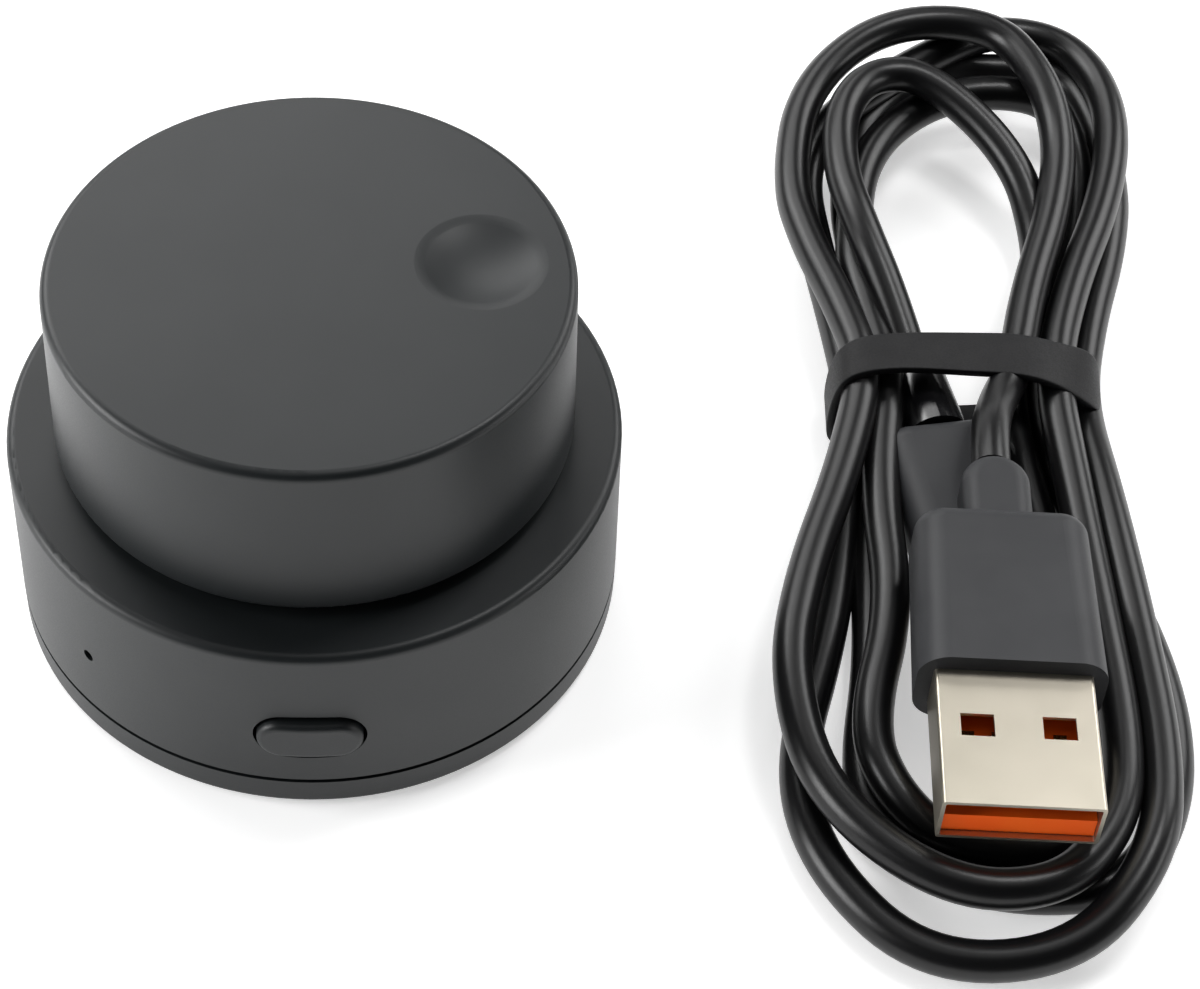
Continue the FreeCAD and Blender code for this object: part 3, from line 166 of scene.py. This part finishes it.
# ---- the cord ----
def fold_points(start, first, tip, second, end, shoulders, heights, swings):
    """Control points of one fold of the cord, from one foot to the other."""
    wide_first, far_first, wide_second, far_second = shoulders
    leave, out, shoulder_first, tip_first, tip_second, shoulder_second, back, arrive = heights
    leave_swing, out_swing, back_swing, arrive_swing = swings
    return [
        (between(start[0], first[0], leave_swing), between(start[1], first[1], LOW_BEND), leave),
        (between(start[0], first[0], out_swing), between(start[1], first[1], HIGH_BEND), out),
        (first[0], first[1], out),
        (between(first[0], tip[0], SHOULDER_INSET), between(first[1], tip[1], far_first), shoulder_first),
        (between(first[0], tip[0], wide_first), tip[1], tip_first),
        (between(second[0], tip[0], wide_second), tip[1], tip_second),
        (between(second[0], tip[0], SHOULDER_INSET), between(second[1], tip[1], far_second), shoulder_second),
        (second[0], second[1], back),
        (between(end[0], second[0], back_swing), between(end[1], second[1], HIGH_BEND), back),
        (between(end[0], second[0], arrive_swing), between(end[1], second[1], LOW_BEND), arrive),
        end,
    ]


def cord_points():
    """The cord's control points, from the USB-A plug's neck through the nine folds to the USB-C plug."""
    points = [LEAD_START, *LEAD_ROUTE, FEET["a_right"]]
    for start, first, tip, second, end, shoulders, heights, swings in FOLDS:
        points += fold_points(FEET[start], first, tip, second, FEET[end], shoulders, heights, swings)
    return points


def make_cord(material):
    curve = bpy.data.curves.new("usb_cord", "CURVE")
    curve.dimensions = "3D"
    curve.bevel_depth = CORD_DIAMETER / 2 * MM
    curve.bevel_resolution = CORD_ROUNDNESS
    curve.resolution_u = CORD_STEPS
    curve.use_fill_caps = True
    spline = curve.splines.new("NURBS")
    points = cord_points()
    spline.points.add(len(points) - 1)
    for slot, place in zip(spline.points, points):
        slot.co = (*(Vector(place) * MM), 1.0)
    spline.order_u = 3
    spline.use_endpoint_u = True
    curve.materials.append(material)
    cord = bpy.data.objects.new("usb_cord", curve)
    bpy.context.collection.objects.link(cord)
    return cord


# ---- the band ----
def shade_smooth(piece):
    for polygon in piece.data.polygons:
        polygon.use_smooth = True


def make_band(material):
    """A flat strap: a closed strip through the stations, thickened and smoothed."""
    mesh = bpy.data.meshes.new("rubber_band")
    places = []
    for near, far in BAND_STATIONS:
        middle = (Vector(near) + Vector(far)) / 2
        places += [Vector(near) * MM, middle * MM, Vector(far) * MM]
    points_across = 3
    faces = []
    for index in range(len(BAND_STATIONS)):
        here = points_across * index
        ahead = (here + points_across) % len(places)
        for row in range(points_across - 1):
            faces.append((here + row, here + row + 1, ahead + row + 1, ahead + row))
    mesh.from_pydata(places, [], faces)
    mesh.materials.append(material)
    band = bpy.data.objects.new("rubber_band", mesh)
    bpy.context.collection.objects.link(band)
    smooth = band.modifiers.new("smooth", "SUBSURF")
    smooth.levels = smooth.render_levels = BAND_SMOOTHING
    thick = band.modifiers.new("thickness", "SOLIDIFY")
    thick.thickness = BAND_THICKNESS * MM
    thick.offset = 0.0
    edge = band.modifiers.new("edge", "BEVEL")
    edge.width = BAND_EDGE_ROUND * MM
    edge.segments = 2
    shade_smooth(band)
    return band


# ---- materials ----
def new_material(name):
    material = bpy.data.materials.new(name)
    material.use_nodes = True
    tree = material.node_tree
    return material, tree, tree.nodes["Principled BSDF"]


def set_inputs(node, values):
    for socket, value in values.items():
        node.inputs[socket].default_value = value


def noise(tree, size_mm, detail):
    """Noise with features of about the given size, on the object's own coordinates."""
    place = tree.nodes.new("ShaderNodeTexCoord")
    node = tree.nodes.new("ShaderNodeTexNoise")
    set_inputs(node, {"Scale": 1.0 / (size_mm * MM), "Detail": detail})
    tree.links.new(place.outputs["Object"], node.inputs["Vector"])
    return node.outputs["Fac"]


def colour_between(tree, factor, dark, light):
    ramp = tree.nodes.new("ShaderNodeValToRGB")
    first, last = ramp.color_ramp.elements
    first.position, last.position = COLOUR_FROM, COLOUR_TO
    first.color, last.color = (*dark, 1.0), (*light, 1.0)
    tree.links.new(factor, ramp.inputs["Fac"])
    return ramp.outputs["Color"]


def gloss_between(tree, factor, least, greatest):
    node = tree.nodes.new("ShaderNodeMapRange")
    set_inputs(node, {"From Min": GLOSS_FROM, "From Max": GLOSS_TO, "To Min": least, "To Max": greatest})
    tree.links.new(factor, node.inputs["Value"])
    return node.outputs["Result"]


def grained(name, dark, light, colour_mm, roughness, grain_mm, grain_depth_mm, metallic=0.0,
            coat=0.0, specular=0.5):
    """A moulded, painted or blasted surface: slow colour change, uneven gloss and a fine grain."""
    material, tree, shader = new_material(name)
    slow = noise(tree, colour_mm, COLOUR_DETAIL)
    tree.links.new(colour_between(tree, slow, dark, light), shader.inputs["Base Color"])
    fine = noise(tree, grain_mm, GRAIN_DETAIL)
    tree.links.new(gloss_between(tree, fine, *roughness), shader.inputs["Roughness"])
    bump = tree.nodes.new("ShaderNodeBump")
    set_inputs(bump, {"Strength": 1.0, "Distance": grain_depth_mm * MM})
    tree.links.new(fine, bump.inputs["Height"])
    tree.links.new(bump.outputs["Normal"], shader.inputs["Normal"])
    set_inputs(shader, {"Metallic": metallic, "Coat Weight": coat, "Specular IOR Level": specular})
    return material


def make_materials():
    """One material for each of the record's slots."""
    return {name: grained(name, *values, **extras) for name, (*values, extras) in FINISHES.items()}


# ---- stage ----
def make_camera():
    data = bpy.data.cameras.new("camera")
    data.lens = CAMERA_LENS
    data.sensor_width = CAMERA_SENSOR
    data.sensor_fit = "HORIZONTAL"
    data.clip_start = CAMERA_NEAREST * MM
    data.clip_end = CAMERA_FARTHEST * MM
    camera = bpy.data.objects.new("camera", data)
    right, up, ahead = Vector(CAMERA_RIGHT), Vector(CAMERA_UP), Vector(CAMERA_AHEAD)
    turn = Matrix((right, up, -ahead)).transposed().to_4x4()
    camera.matrix_world = Matrix.Translation(Vector(CAMERA_PLACE) * MM) @ turn
    bpy.context.collection.objects.link(camera)
    bpy.context.scene.camera = camera


def make_floor():
    reach = FLOOR_REACH
    corners = [(-reach, -reach, 0), (reach, -reach, 0), (reach, reach, 0), (-reach, reach, 0)]
    mesh = bpy.data.meshes.new("floor")
    mesh.from_pydata(corners, [], [(0, 1, 2, 3)])
    floor = bpy.data.objects.new("floor", mesh)
    floor.location.z = -FLOOR_DROP * MM
    material, tree, shader = new_material("floor_paint")
    slow = noise(tree, FLOOR_COLOUR_SIZE, COLOUR_DETAIL)
    tree.links.new(colour_between(tree, slow, FLOOR_DARK, FLOOR_LIGHT), shader.inputs["Base Color"])
    set_inputs(shader, {"Roughness": FLOOR_ROUGHNESS, "Specular IOR Level": 0.0,
                        "Emission Color": WHITE, "Emission Strength": FLOOR_GLOW})
    mesh.materials.append(material)
    bpy.context.collection.objects.link(floor)


def area_light(name, place, aim, size, power):
    """A rectangular light at a place, turned to face its aim."""
    data = bpy.data.lights.new(name, "AREA")
    data.shape = "RECTANGLE"
    data.size, data.size_y = size
    data.energy = power
    light = bpy.data.objects.new(name, data)
    light.location = place
    light.rotation_euler = (Vector(aim) - Vector(place)).to_track_quat("-Z", "Y").to_euler()
    bpy.context.collection.objects.link(light)


def make_lights():
    world = bpy.data.worlds.new("studio")
    world.use_nodes = True
    set_inputs(world.node_tree.nodes["Background"], {"Color": WHITE, "Strength": STUDIO_GLOW})
    bpy.context.scene.world = world
    for light in LIGHTS:
        area_light(*light)
    bpy.context.scene.view_settings.view_transform = "Standard"


# ---- build ----
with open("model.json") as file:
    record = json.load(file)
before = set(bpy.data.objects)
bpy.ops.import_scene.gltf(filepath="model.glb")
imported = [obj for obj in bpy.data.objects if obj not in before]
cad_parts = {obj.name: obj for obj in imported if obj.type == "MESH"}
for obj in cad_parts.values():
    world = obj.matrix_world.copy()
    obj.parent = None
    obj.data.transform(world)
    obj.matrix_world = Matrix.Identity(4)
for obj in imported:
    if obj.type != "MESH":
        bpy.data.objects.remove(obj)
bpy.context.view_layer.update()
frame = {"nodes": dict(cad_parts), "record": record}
make_camera()
make_floor()
make_lights()
materials = make_materials()

for part in frame["record"]["subparts"]:
    node = frame["nodes"][part["node"]]
    node.data.materials.clear()
    node.data.materials.append(materials[part["material_slot"]])

cord = make_cord(materials["cable_jacket"])
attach(cord, "usb_cable")
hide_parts("cable_hank", "cable_lead")

band = make_band(materials["band_rubber"])
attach(band, "usb_cable")
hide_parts("cable_band")
